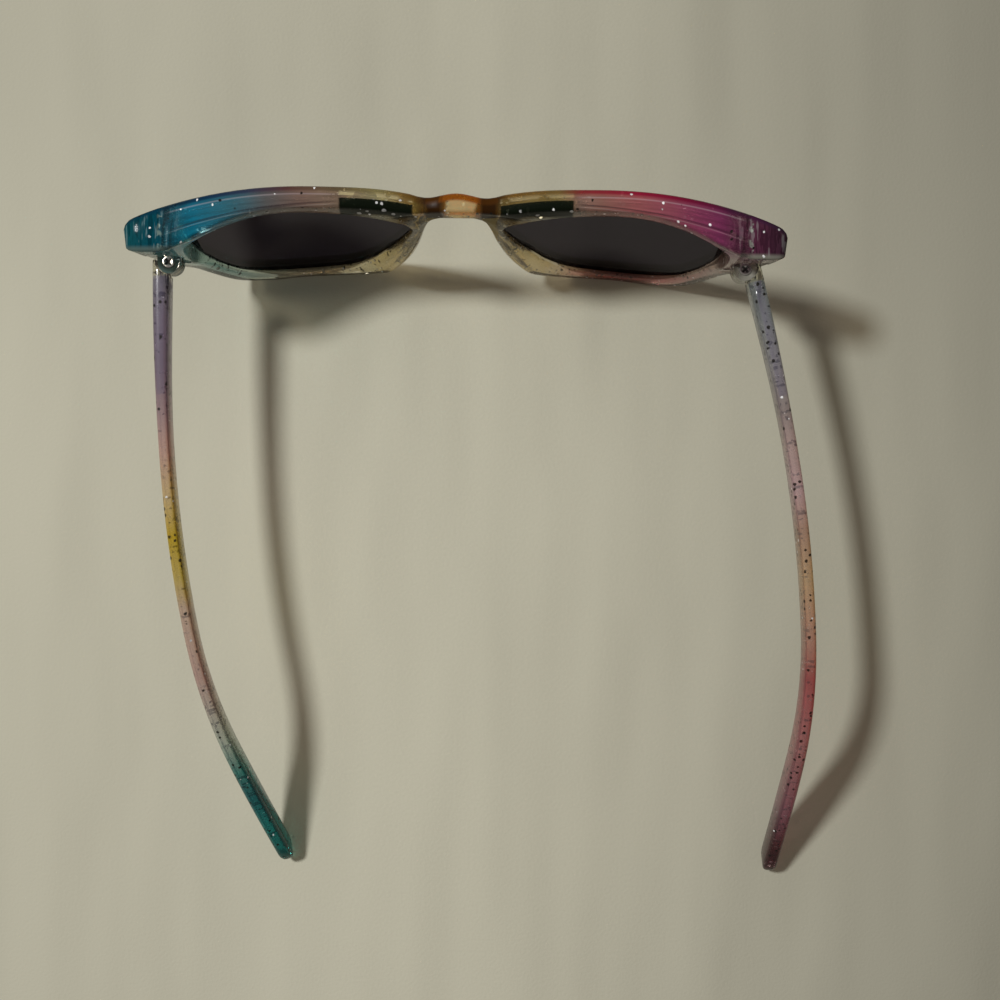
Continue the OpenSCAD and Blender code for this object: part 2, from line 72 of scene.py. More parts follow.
# Places on the front in mm: across from its middle on either side
NOSE_FILL_END = (7.6, 31.8)
WAVE_END = (9.3, 9.5)
BRIDGE_END = (9, 10.4)
SLOT_ACROSS = (9.7, 25.9)
LIP_ACROSS = (8.5, 26)
NOSE_END = (22, 30)
WING_LINES = (27, 63)
WING_START = (26, 30)
WING_END = (57, 63)
HINGE_START = (58, 60)
BARS_START = (60, 63)
BLOCK_START = (62.5, 65.5)
BLOCK_SPECKS = (64.2, 65.3)

# Places on the front in mm: behind its face
FACE_DEPTH = (0.9, 1.9)
BRIDGE_FACE_DEPTH = (1.5, 2.3)
STRIP_DEPTH = (1.05, 2.2)
SLOT_DEPTH = (2.75, 5.2)
SLOT_REAR = (5.2, 5.35)
LIP_DEPTH = (5.2, 5.5)
BLOCK_REAR = (11, 12.6)

# Places on the front in mm: above the table
BROW_UP = (30, 42)
LIP_UP = (30, 36)
TOP_UP = (42.5, 44)
BRIDGE_FOOT_UP = (43.3, 43.9)

# Places along and across a temple in mm, behind its pin and from its middle line
BUTT_END = (3, 3.5)
CORE_ALONG = (3.3, 30)
CORE_ACROSS = (-0.9, 0.9)
# Painted shade along a temple's edges, in mm across from its middle line
SHADED_EDGE = (0.35, 1.1)
DIM_EDGE = (0.7, 1.3)

# Where the left side's colours give way to the right side's, how far ahead of the pin the
# clear knuckles end, and how far colours drift along the front and the temples, in mm
SIDE_CHANGE = (-5, 5)
KNUCKLE_AHEAD = (0.6, 1.8)
FRONT_DRIFT = 2.6
TEMPLE_DRIFT = 2.4

# The golden flank of the nose ends on a slanted line: so far out in mm at the table, and
# nearer to the nose by a share of the height
GOLD_END = (20.9, 22.2)
GOLD_SLANT = 0.27

# The bridge's window lies a little off the middle, and its flanks lie beside it, in mm
WINDOW_AT = 1.2
FLANK_ACROSS = (4.4, 8)

# Painted reflections: light and dark lines where the groove of the lens shows through, in mm behind
# the face. The last two follow the brow's rear edge, which moves back by a share of the way out
GROOVE_LINE = (1.95, 2.25)
REAR_SLANT = 0.067
DARK_REAR_LINE = (1.75, 2.05)
LIT_REAR_LINE = (2.3, 2.45)

# Camera over the sheet, as found by fitting a pinhole camera to the photograph
CAMERA_AT = (5.116 * MM, 12.01 * MM, 355 * MM)
CAMERA_ROLL = math.radians(0.755)
CAMERA_NEAR = 10 * MM
FOCAL = 1.395
SENSOR = 36

# One soft lamp up and to the left, and an even sky
LAMP_AT = Vector((-0.567, 0.308, 0.975))
LAMP_TO = Vector((0, 0.01, 0.02))
LAMP_WIDTH = 0.15
LAMP_POWER = 14.2
LAMP_COLOR = (1, 1, 0.99)
SKY_COLOR = (1, 0.89, 0.8, 1)
SKY_STRENGTH = 0.195

# Colours, as written in sRGB
FLOOR_RGB = (181, 178, 160)
LENS_RGB = (26, 21, 32)
PALE_RGB = (150, 146, 128)
CORE_RGB = (92, 86, 110)
SLOT_RGB = (7, 13, 5)
STRIP_RGB = (186, 174, 134)
SLOT_REAR_RGB = (128, 128, 108)
BRIDGE_FOOT_RGB = (118, 104, 62)
NOSE_RGB = (124, 100, 44)
# Painted reflections of the lens's groove: a light line, a dark line and a lit line
GROOVE_GLINT_RGB = (205, 190, 195)
GROOVE_SHADE_RGB = (35, 22, 30)
LIT_LINE_RGB = (190, 180, 175)
SPECK_RGB = (150, 165, 150)
LIT_BAR_RGB = (170, 180, 175)
LEFT_REAR_RGB = (10, 58, 70)
RIGHT_REAR_RGB = (70, 62, 62)
LEFT_KNUCKLE_RGB = (74, 88, 84)
RIGHT_KNUCKLE_RGB = (116, 116, 106)

# Colours, as plain light
DARK_FLECK = (0.008, 0.007, 0.006, 1)
SHADOW_PASS = (0.72, 0.67, 0.6, 1)
EDGE_DEEP = (0.004, 0.004, 0.005, 1)
EDGE_WORN = (0.012, 0.011, 0.014, 1)
MIRROR_COLOR = (0.95, 0.9, 1, 1)
FOIL_DARK = (0.015, 0.013, 0.012, 1)
FOIL_BRIGHT = (0.55, 0.55, 0.52, 1)

# How bright the lit floor shows, which a clear tint is seen against
FLOOR_SHOWN = 0.41
PLASTIC_IOR = 1.49

# A lens mirrors a fixed share of light, because its own index would mirror too much of
# it at the steep slant of this view
LENS_IOR = 1.01
MIRROR_SHARE = 0.055

# Edges up to the first angle, in degrees, are shaded smooth, and a screw's edges past the
# second are bevelled; points nearer than this, in metres, are joined
SMOOTH_ANGLE = 38
BEVEL_ANGLE = 50
WELD = 2e-6

# A lens's faces look along Y by more than this, and its edge by less
EDGE_LOOK = 0.3

# The reach of a screw's cross and its place above the table, and the screw's bevel, in mm
RECESS_R = 0.95
RECESS_UP = (37.8, 38.24)
SCREW_BEVEL = 0.05

# Flakes of glitter, in mm: how deep they lie, their radius, half their thickness, and the
# room that their middle and their corners keep to the surface
FLAKE_DEPTH = (0.25, 1.5)
FLAKE_R = (0.16, 0.5)
FLAKE_HALF = 0.03
FLAKE_ROOM = 0.2
CORNER_ROOM = 0.06

# How far flakes lean, how many sides they have and how ragged they are, the share that is
# bright, and how many tries each may take
FLAKE_TILT = 0.35
FLAKE_SIDES = 6
FLAKE_RAGGED = (0.6, 1)
BRIGHT_FLAKES = 0.3
FLAKE_TRIES = 30

# A slanted ray counts the walls between a point and the outside, a micron past each
RAY = Vector((0.31, 0.17, 0.93))
RAY_STEP = 1e-6
MOST_WALLS = 12

# The floor's width and how far it lies under the object, in metres, and where painted shade
# dims it to the right, to the left and ahead, in mm
FLOOR_SIZE = 3
FLOOR_DROP = 0.0001
PAINTED_SHADE_RIGHT = (0, 150)
PAINTED_SHADE_LEFT = (-130, -10)
PAINTED_SHADE_AHEAD = (10, 130)

# Tints as they show from above, at distances from the middle of the front in mm
FRONT_TINTS = [
    (-74, (16, 64, 68)), (-66, (6, 58, 70)), (-58, (0, 92, 114)), (-49, (45, 92, 105)), (-42, (78, 78, 78)),
    (-34, (105, 85, 76)), (-26, (120, 102, 86)), (-17, (136, 130, 98)), (-11, (118, 96, 52)),
    (11, (112, 94, 50)), (23, (118, 102, 60)), (27, (118, 95, 84)), (32, (120, 85, 76)), (40, (136, 78, 80)),
    (51, (116, 54, 76)), (58, (105, 42, 76)), (64, (76, 36, 56)), (73, (50, 32, 42))]
FACE_TINTS = [
    (-74, (12, 45, 55)), (-64, (6, 45, 62)), (-55, (5, 45, 72)), (-46, (42, 50, 72)), (-37, (82, 52, 50)),
    (-27, (100, 85, 62)), (-17, (128, 120, 80)), (-10.5, (118, 88, 34)),
    (-7, (58, 32, 6)), (-3.8, (58, 32, 6)), (-2.8, (134, 74, 10)), (4.6, (134, 74, 10)),
    (5.8, (58, 32, 6)), (9, (58, 32, 6)), (11.5, (112, 82, 34)),
    (23, (112, 92, 50)), (27.5, (125, 42, 45)), (40, (130, 20, 48)), (51, (108, 12, 46)),
    (60, (68, 22, 55)), (73, (40, 30, 42))]
LOW_TINTS = [
    (-74, (62, 88, 88)), (-60, (80, 108, 102)), (-50, (108, 114, 102)), (-42, (140, 135, 118)),
    (-16, (146, 138, 110)), (-9, (122, 108, 64)), (9, (146, 128, 74)), (16, (158, 150, 122)),
    (25, (138, 122, 105)), (38, (126, 84, 76)), (50, (130, 90, 82)), (60, (122, 100, 92)), (73, (84, 74, 76))]

# Tints of the bridge, at distances from the middle of its window in mm
BRIDGE_TINTS = [
    (0, (170, 158, 118)), (2.9, (168, 156, 116)), (3.7, (92, 66, 22)), (4.8, (40, 21, 4)),
    (7.3, (36, 19, 3)), (8.6, (82, 58, 18)), (11, (114, 96, 46))]

# Tints of the temples as they show from above, at places from tip to hinge in mm
TEMPLE_TINTS = {
    "left": [
        (-82, (4, 64, 62)), (-70, (12, 94, 92)), (-60, (14, 74, 80)), (-53, (48, 102, 98)),
        (-45, (140, 148, 138)), (-30, (148, 124, 118)), (-14, (146, 127, 114)), (-7, (148, 130, 72)),
        (3, (146, 122, 26)), (12, (158, 138, 102)), (22, (150, 122, 114)), (31, (126, 106, 110)),
        (40, (100, 86, 98)), (50, (100, 90, 104)), (66, (96, 96, 104))],
    "right": [
        (-82, (56, 30, 36)), (-72, (66, 38, 40)), (-62, (114, 80, 88)), (-45, (144, 104, 104)),
        (-28, (134, 78, 78)), (-20, (141, 108, 98)), (-5, (150, 128, 104)), (6, (138, 114, 102)),
        (15, (152, 130, 132)), (25, (144, 126, 124)), (33, (120, 110, 110)), (43, (122, 120, 122)),
        (55, (110, 114, 116)), (66, (103, 108, 106))]}


def linear(rgb, share=1):
    """A share of an sRGB colour, as the light that a shader takes."""
    out = []
    for c in rgb:
        c = c * share / 255
        out.append(c / 12.92 if c <= 0.04045 else ((c + 0.055) / 1.055) ** 2.4)
    return (*out, 1)


def grey(light):
    return (light, light, light, 1)


class Nodes:
    """A short way to add and join shader nodes."""

    def __init__(self, name):
        self.mat = bpy.data.materials.new(name)
        self.mat.use_nodes = True
        self.tree = self.mat.node_tree
        self.tree.nodes.clear()
        self.out = self.tree.nodes.new("ShaderNodeOutputMaterial")
        self.place = self.add("ShaderNodeTexCoord").outputs["Object"]
        self.x, self.y, self.z = self.parts(self.place)

    def add(self, kind, **values):
        node = self.tree.nodes.new(kind)
        for key, value in values.items():
            setattr(node, key, value)
        return node

    def join(self, source, target):
        self.tree.links.new(source, target)

    def give(self, socket, value):
        if value is None:
            return
        if isinstance(value, bpy.types.NodeSocket):
            self.join(value, socket)
        else:
            socket.default_value = value

    def finish(self, shader):
        self.join(shader, self.out.inputs["Surface"])
        return self.mat

    def parts(self, vector):
        node = self.add("ShaderNodeSeparateXYZ")
        self.join(vector, node.inputs[0])
        return node.outputs

    def math(self, operation, a, b=None, c=None):
        node = self.add("ShaderNodeMath", operation=operation)
        for socket, value in zip(node.inputs, (a, b, c)):
            self.give(socket, value)
        return node.outputs[0]

    def times(self, *values):
        out = values[0]
        for value in values[1:]:
            out = self.math("MULTIPLY", out, value)
        return out

    def plus(self, a, b):
        return self.math("ADD", a, b)

    def minus(self, a, b):
        return self.math("SUBTRACT", a, b)

    def most(self, *values):
        out = values[0]
        for value in values[1:]:
            out = self.math("MAXIMUM", out, value)
        return out

    def less(self, value):
        """One less the value."""
        return self.minus(1.0, value)

    def fit(self, value, slope, start):
        """The value times a slope, from a start."""
        return self.math("MULTIPLY_ADD", value, slope, start)

    def step(self, value, low, high):
        """From 0 at low to 1 at high, for a plain number."""
        node = self.add("ShaderNodeMapRange", interpolation_type="SMOOTHSTEP")
        self.join(value, node.inputs["Value"])
        node.inputs["From Min"].default_value = low
        node.inputs["From Max"].default_value = high
        return node.outputs[0]

    def smooth(self, value, low, high):
        """From 0 at low to 1 at high, both in mm."""
        return self.step(value, low * MM, high * MM)

    def band(self, value, low, high, soft):
        """1 between low and high and 0 outside, with soft edges, in mm."""
        rise = self.smooth(value, low - soft, low + soft)
        fall = self.smooth(value, high - soft, high + soft)
        return self.minus(rise, fall)

    def ramp(self, value, stops):
        """A colour ramp over stops of (place in mm, sRGB colour)."""
        low, high = stops[0][0], stops[-1][0]
        share = self.add("ShaderNodeMapRange")
        self.join(value, share.inputs["Value"])
        share.inputs["From Min"].default_value = low * MM
        share.inputs["From Max"].default_value = high * MM
        node = self.add("ShaderNodeValToRGB")
        band = node.color_ramp
        band.interpolation = "LINEAR"
        while len(band.elements) < len(stops):
            band.elements.new(0.5)
        for element, (place, rgb) in zip(band.elements, stops):
            element.position = (place - low) / (high - low)
            element.color = linear(rgb)
        self.join(share.outputs[0], node.inputs["Fac"])
        return node.outputs["Color"]

    def mix(self, share, a, b, kind="MIX", clamp=False):
        node = self.add("ShaderNodeMix", data_type="RGBA", blend_type=kind, clamp_result=clamp)
        self.give(node.inputs["Factor"], share)
        for socket, value in ((node.inputs[6], a), (node.inputs[7], b)):
            self.give(socket, value)
        return node.outputs[2]

    def shade(self, color, light):
        """The colour, made darker or lighter by a plain number or a grey."""
        return self.mix(1.0, color, light, "MULTIPLY")

    def vector(self, x, y, z):
        node = self.add("ShaderNodeCombineXYZ")
        for socket, value in zip(node.inputs, (x, y, z)):
            self.give(socket, value)
        return node.outputs[0]

    def noise(self, vector, scale, detail=2.0, out="Fac"):
        node = self.add("ShaderNodeTexNoise")
        self.join(vector, node.inputs["Vector"])
        node.inputs["Scale"].default_value = scale
        node.inputs["Detail"].default_value = detail
        return node.outputs[out]

    def flecks(self, size, radius, share, shift):
        """Ragged spots in a share of cells, with the cell and the spot's radius in mm."""
        ragged = self.add("ShaderNodeVectorMath", operation="MULTIPLY_ADD")
        self.join(self.noise(self.place, 1500, 1, "Color"), ragged.inputs[0])
        ragged.inputs[1].default_value = (0.5 * MM, 0.5 * MM, 0.5 * MM)
        self.join(self.place, ragged.inputs[2])
        moved = self.add("ShaderNodeVectorMath", operation="ADD")
        self.join(ragged.outputs[0], moved.inputs[0])
        moved.inputs[1].default_value = (shift, shift, shift)
        cell = self.add("ShaderNodeTexVoronoi")
        self.join(moved.outputs[0], cell.inputs["Vector"])
        cell.inputs["Scale"].default_value = 1 / (size * MM)
        reach = radius / size
        spot = self.less(self.step(cell.outputs["Distance"], 0.8 * reach, reach))
        pick = self.add("ShaderNodeSeparateColor")
        self.join(cell.outputs["Color"], pick.inputs[0])
        return self.times(spot, self.math("LESS_THAN", pick.outputs[0], share))

    def bump(self, height, strength, distance, over=None):
        """A normal bumped by a height, over another bumped normal if there is one."""
        node = self.add("ShaderNodeBump")
        self.join(height, node.inputs["Height"])
        self.give(node.inputs["Normal"], over)
        node.inputs["Strength"].default_value = strength
        node.inputs["Distance"].default_value = distance
        return node.outputs["Normal"]

    def principled(self, **values):
        node = self.add("ShaderNodeBsdfPrincipled")
        for key, value in values.items():
            self.give(node.inputs[key.replace("_", " ")], value)
        return node.outputs[0]

    def blend(self, share, a, b):
        node = self.add("ShaderNodeMixShader")
        self.give(node.inputs[0], share)
        self.join(a, node.inputs[1])
        self.join(b, node.inputs[2])
        return node.outputs[0]


def tinted_clear(n, seen, haze, bright, dark, walls, passing, gloss):
    """Clear plastic that shows the colour seen: part glass, part cloudy, with dark foil specks
    and bright specks, glitter painted as glints, near its surface. Walls is how many sheets of it
    light goes through, as a power of the tint, passing is how much light its shadow lets by, and
    gloss is how strongly it mirrors the lamp."""
    full = n.mix(1.0, seen, grey(1 / FLOOR_SHOWN), "MULTIPLY", True)
    tint = n.add("ShaderNodeGamma")
    n.join(full, tint.inputs["Color"])
    n.give(tint.inputs["Gamma"], walls)
    cloudy = n.mix(dark, n.shade(seen, grey(1.05)), DARK_FLECK)
    # Painted glints: the bright specks take a grey that brightens and dims at random
    glint = n.fit(n.noise(n.place, 500, 1), 1.3, -0.1)
    cloudy = n.mix(bright, cloudy, n.shade(grey(1.0), glint))
    rough = n.fit(n.noise(n.place, 900, 4), 0.1, 0.04)
    normal = n.bump(n.noise(n.place, 160, 2), 0.2, 0.15 * MM)
    glass = n.principled(Base_Color=tint.outputs[0], IOR=PLASTIC_IOR, Transmission_Weight=1.0,
                         Roughness=rough, Normal=normal, Specular_IOR_Level=gloss)
    milk = n.principled(Base_Color=cloudy, IOR=PLASTIC_IOR, Roughness=n.plus(rough, 0.16),
                        Normal=normal, Specular_IOR_Level=gloss)
    body = n.blend(n.most(haze, bright, n.times(dark, 0.9)), glass, milk)
    through = n.add("ShaderNodeBsdfTransparent")
    n.join(n.mix(0.9, tint.outputs[0], SHADOW_PASS), through.inputs["Color"])
    shadow = n.add("ShaderNodeLightPath").outputs["Is Shadow Ray"]
    return n.finish(n.blend(n.times(shadow, passing), body, through.outputs[0]))


class FrontNodes(Nodes):
    """Nodes that tell where on the front a point lies. Each part is 1 inside it."""

    def __init__(self, name):
        super().__init__(name)
        self.u = self.minus(self.x, MIDDLE_X)
        self.size = self.math("ABSOLUTE", self.u)
        self.on_right = self.smooth(self.u, *SIDE_CHANGE)
        self.depth = self.behind_face()

        # Colours drift a little along the front
        drift = self.minus(self.noise(self.place, 160, 2), 0.5)
        self.along = self.fit(drift, FRONT_DRIFT * MM, self.u)

        self.brow = self.smooth(self.z, *BROW_UP)
        self.top = self.smooth(self.z, *TOP_UP)
        self.block = self.smooth(self.size, *BLOCK_START)
        self.bridge = self.less(self.smooth(self.size, *BRIDGE_END))
        self.from_window = self.math("ABSOLUTE", self.minus(self.along, WINDOW_AT * MM))
        self.over_slots = self.times(self.band(self.size, *SLOT_ACROSS, 0.25), self.top)
        self.slots = self.times(self.over_slots, self.band(self.depth, *SLOT_DEPTH, 0.12))
        self.lip = self.times(self.band(self.size, *LIP_ACROSS, 0.5), self.smooth(self.depth, *LIP_DEPTH),
                              self.smooth(self.z, *LIP_UP))
        ahead = self.smooth(self.minus(self.y, PINS["left"][1]), *KNUCKLE_AHEAD)
        self.hinge = self.times(self.less(ahead), self.smooth(self.size, *HINGE_START))
        bridge_face = self.times(self.bridge, self.less(self.smooth(self.depth, *BRIDGE_FACE_DEPTH)))
        self.face = self.most(self.less(self.smooth(self.depth, *FACE_DEPTH)), bridge_face)

        # Bars across the end pieces, painted reflections from inside the clear plastic
        spread = self.vector(self.times(self.u, 1100), self.times(self.depth, 130), self.times(self.z, 160))
        self.bars = self.noise(spread, 1, 3)

    def behind_face(self):
        """How far a point lies behind the face of the front."""
        off = self.minus(self.math("MAXIMUM", self.size, STRAIGHT_U), APEX_U)
        chord = self.math("SQRT", self.minus(FACE_R * FACE_R, self.times(off, off)))
        back = self.math("DIVIDE", self.minus(FACE_R, chord), math.cos(FACE_TILT))
        fill = self.times(self.less(self.smooth(self.size, *NOSE_FILL_END)), NOSE_FILL)
        wave = self.times(self.math("COSINE", self.times(self.size, math.pi / WAVE_U)),
                          self.less(self.smooth(self.size, *WAVE_END)), BRIDGE_WAVE)
        lean = self.times(self.minus(FRONT_H, self.z), math.tan(FACE_TILT))
        face_y = self.plus(self.plus(fill, wave), self.minus(APEX_Y, self.plus(back, lean)))
        return self.minus(face_y, self.y)


def flow_lines_and_reflections(n, seen):
    """Flow lines along the brow, and painted reflection bars across it in the end pieces."""
    lines = n.noise(n.vector(n.times(n.u, 90), n.times(n.depth, 1500), n.times(n.z, 120)), 1, 3)
    streaks = n.plus(n.times(lines, n.less(n.block)), n.times(n.bars, n.block))
    strength = n.fit(n.block, 1.2, 1.2)
    return n.shade(seen, n.fit(n.minus(streaks, 0.5), strength, 1.0))


def groove_reflections(n, seen):
    """Painted light and dark reflections on top where the groove of the lens shows through."""
    wing = n.times(n.band(n.size, *WING_LINES, 1.5), n.top)
    rear_line = n.fit(n.size, -REAR_SLANT, n.depth)
    for line, share, rgb in ((n.band(n.depth, *GROOVE_LINE, 0.12), 0.22, GROOVE_GLINT_RGB),
                             (n.band(rear_line, *DARK_REAR_LINE, 0.12), 0.6, GROOVE_SHADE_RGB),
                             (n.band(rear_line, *LIT_REAR_LINE, 0.1), 0.22, LIT_LINE_RGB)):
        seen = n.mix(n.times(line, wing, share), seen, linear(rgb))
    return seen


def end_pieces(n, seen):
    """A row of specks, dim and lit bars of painted reflection, and the tints of the rear edges."""
    specks = n.times(n.band(n.size, *BLOCK_SPECKS, 0.3), n.step(n.noise(n.place, 700, 2), 0.5, 0.62), 0.4)
    seen = n.mix(specks, seen, linear(SPECK_RGB))
    outer = n.smooth(n.size, *BARS_START)
    dim = n.times(n.step(n.bars, 0.5, 0.56), outer, 0.7)
    seen = n.mix(dim, seen, n.shade(seen, grey(0.25)))
    lit = n.times(n.less(n.step(n.bars, 0.38, 0.43)), outer, 0.65)
    seen = n.mix(lit, seen, n.mix(0.25, n.shade(seen, grey(2.2)), linear(LIT_BAR_RGB)))
    rear = n.times(n.smooth(n.depth, *BLOCK_REAR), n.block, 0.85)
    return n.mix(rear, seen, n.mix(n.on_right, linear(LEFT_REAR_RGB), linear(RIGHT_REAR_RGB)))


def bridge(n, seen):
    """A clear window between brown flanks, over a pale foot."""
    seen = n.mix(n.bridge, seen, n.ramp(n.from_window, BRIDGE_TINTS))
    foot = n.times(n.bridge, n.less(n.smooth(n.z, *BRIDGE_FOOT_UP)))
    return n.mix(foot, seen, linear(BRIDGE_FOOT_RGB))


def tab_slots(n, seen):
    """The slots that the lens tabs fill, with a clear strip before and behind each."""
    broken = n.step(n.noise(n.place, 260, 1), 0.42, 0.5)
    strip = n.times(n.over_slots, broken, n.band(n.depth, *STRIP_DEPTH, 0.12), n.fit(n.on_right, -0.4, 0.85))
    seen = n.mix(strip, seen, linear(STRIP_RGB))
    rear = n.times(n.over_slots, n.smooth(n.depth, *SLOT_REAR), 0.75)
    seen = n.mix(rear, seen, linear(SLOT_REAR_RGB))
    return n.mix(n.slots, seen, linear(SLOT_RGB))


def face_and_rims(n, seen):
    """Strong tints on the face, and nearly clear low rims that are golden at the nose."""
    face_tint = n.ramp(n.along, FACE_TINTS)
    seen = n.mix(n.face, seen, face_tint)
    low = n.mix(n.times(n.face, 0.5), n.ramp(n.along, LOW_TINTS), face_tint)
    gold = n.less(n.smooth(n.fit(n.z, GOLD_SLANT, n.size), *GOLD_END))
    low = n.mix(n.times(gold, 0.55), low, linear(NOSE_RGB))
    return n.mix(n.brow, low, seen)


def knuckles(n, seen):
    """The knuckles and what lies round them are nearly clear."""
    knuckle = n.mix(n.on_right, linear(LEFT_KNUCKLE_RGB), linear(RIGHT_KNUCKLE_RGB))
    return n.mix(n.times(n.hinge, 0.85), seen, knuckle)


def front_haze(n):
    """Cloudy on top, where light gathers, and clear at the back."""
    normal = n.parts(n.add("ShaderNodeNewGeometry").outputs["Normal"])
    upward = n.step(normal[2], 0.2, 0.6)
    wings = n.times(n.smooth(n.size, *WING_START), n.less(n.smooth(n.size, *WING_END)))
    brow_haze = n.times(n.fit(wings, 0.2, 0.5), n.most(upward, n.fit(wings, 0.35, 0.12)))
    haze = n.fit(n.times(n.brow, n.less(n.hinge)), n.minus(brow_haze, 0.1), 0.1)
    haze = n.times(haze, n.less(n.times(n.lip, 0.9)))
    flanks = n.times(n.bridge, n.band(n.from_window, *FLANK_ACROSS, 0.4), 0.92)
    return n.most(haze, flanks, n.times(n.block, upward, 0.96), n.times(n.slots, 0.9))


def front_clear():
    n = FrontNodes("front_clear")
    seen = n.ramp(n.along, FRONT_TINTS)
    for look in (flow_lines_and_reflections, groove_reflections, end_pieces, bridge, tab_slots, face_and_rims, knuckles):
        seen = look(n, seen)
    # Bright specks, and pale ones in the slots, are glitter painted as glints
    bright = n.times(n.flecks(size=1.7, radius=0.34, share=0.18, shift=0.3), n.less(n.lip))
    in_slots = n.times(n.slots, n.flecks(size=1.9, radius=0.55, share=0.4, shift=0.7), 0.6)
    dark = n.flecks(size=1.6, radius=0.34, share=0.13, shift=0.5)
    walls = n.most(n.fit(n.bridge, 0.5, 0.5), n.fit(n.block, 0.3, 0.5), n.fit(n.face, 0.6, 0.5))
    near_nose = n.less(n.smooth(n.size, *NOSE_END))
    passing = n.fit(near_nose, 0.3, n.fit(n.block, 0.36, 0.5))
    gloss = n.times(n.less(n.block), 0.08)
    return tinted_clear(n, seen, front_haze(n), n.most(bright, in_slots), dark, walls, passing, gloss)


def temple_clear(side):
    n = Nodes(f"{side}_temple_clear")
    pin, turn = PINS[side], TURNS[side]

    # Places along and across the bowed temple, as in part.scad
    dx = n.times(n.minus(n.x, pin[0]), SIDES[side])
    dy = n.minus(n.y, pin[1])
    out = n.plus(n.times(dx, math.cos(turn)), n.times(dy, math.sin(turn)))
    behind = n.minus(n.times(dx, math.sin(turn)), n.times(dy, math.cos(turn)))
    share = n.math("DIVIDE", n.math("MAXIMUM", behind, 0.0), REACH)
    bow = n.times(n.math("POWER", share, BOW_POWER), n.fit(share, -BOW_EASE, 1 + BOW_EASE), BOW_IN)
    across = n.plus(n.minus(out, ROOT_OUT), bow)

    drift = n.minus(n.noise(n.place, 170, 2), 0.5)
    seen = n.ramp(n.fit(drift, TEMPLE_DRIFT * MM, n.y), TEMPLE_TINTS[side])
    lines = n.noise(n.vector(n.times(across, 1500), n.times(behind, 60), n.times(n.z, 300)), 1, 2)
    seen = n.shade(seen, n.fit(n.minus(lines, 0.5), 0.5, 1.08))

    # Painted shade: a deeper, darker tint along the edge away from the lamp, a dim line along the other
    shaded_tint = n.add("ShaderNodeHueSaturation")
    n.join(seen, shaded_tint.inputs["Color"])
    shaded_tint.inputs["Saturation"].default_value = 1.7
    shaded_tint.inputs["Value"].default_value = 0.8
    shaded_edge = n.smooth(n.times(across, SIDES[side]), *SHADED_EDGE)
    dim = n.smooth(n.times(across, -SIDES[side]), *DIM_EDGE)
    seen = n.mix(n.times(shaded_edge, 0.85), seen, shaded_tint.outputs[0])
    seen = n.mix(n.times(dim, 0.4), seen, n.shade(seen, grey(0.6)))

    # The butt is clear round the pin, and a core begins behind it
    butt = n.less(n.smooth(behind, *BUTT_END))
    seen = n.mix(n.times(butt, 0.8), seen, linear(PALE_RGB))
    core = n.times(n.band(behind, *CORE_ALONG, 0.3), n.band(across, *CORE_ACROSS, 0.2))
    seen = n.mix(n.times(core, 0.5), seen, linear(CORE_RGB))

    # Bright specks are glitter painted as glints; dark specks are dark glitter
    bright = n.flecks(size=1.5, radius=0.3, share=0.11, shift=0.3)
    dark = n.flecks(size=1.3, radius=0.43, share=0.36, shift=0.5)
    haze = n.fit(n.less(butt), 0.32, 0.1)
    return tinted_clear(n, seen, haze, bright, dark, walls=0.75, passing=0.48, gloss=0.12)


def smoke_lens(name):
    n = Nodes(name)
    tint = n.mix(n.noise(n.place, 30, 2), linear(LENS_RGB), linear(LENS_RGB, 0.9))
    normal = n.bump(n.noise(n.place, 45, 2), 0.08, 0.2 * MM)
    rough = n.fit(n.noise(n.place, 500, 3), 0.05, 0.01)
    shader = n.principled(Base_Color=tint, IOR=LENS_IOR, Transmission_Weight=1.0,
                          Roughness=rough, Normal=normal)
    mirror = n.add("ShaderNodeBsdfGlossy")
    n.join(rough, mirror.inputs["Roughness"])
    n.join(normal, mirror.inputs["Normal"])
    mirror.inputs["Color"].default_value = MIRROR_COLOR
    return n.finish(n.blend(MIRROR_SHARE, shader, mirror.outputs[0]))


def lens_edge(name):
    """The edge of a smoke lens, which lets hardly any light out."""
    n = Nodes(name)
    worn = n.noise(n.place, 800, 3)
    return n.finish(n.principled(
        Base_Color=n.mix(worn, EDGE_DEEP, EDGE_WORN), IOR=1.5,
        Roughness=n.fit(worn, 0.2, 0.25), Specular_IOR_Level=0.1))


def steel(name, light):
    """Steel that reflects the given share of light where it is least worn."""
    n = Nodes(name)
    worn = n.noise(n.place, 1800, 3)
    return n.finish(n.principled(
        Base_Color=n.mix(worn, grey(0.7 * light), grey(light)), Metallic=1.0,
        Roughness=n.fit(worn, 0.1, 0.1), Normal=n.bump(n.noise(n.place, 2600, 2), 0.2, 0.04 * MM)))


def glitter_foil(name):
    """Metal flakes, a few bright and most dark, told apart by a colour attribute."""
    n = Nodes(name)
    shade = n.add("ShaderNodeAttribute", attribute_name="flake_shade")
    return n.finish(n.principled(
        Base_Color=n.mix(shade.outputs["Fac"], FOIL_DARK, FOIL_BRIGHT), Metallic=0.5,
        Roughness=n.fit(n.noise(n.place, 2000, 2), 0.2, 0.3)))


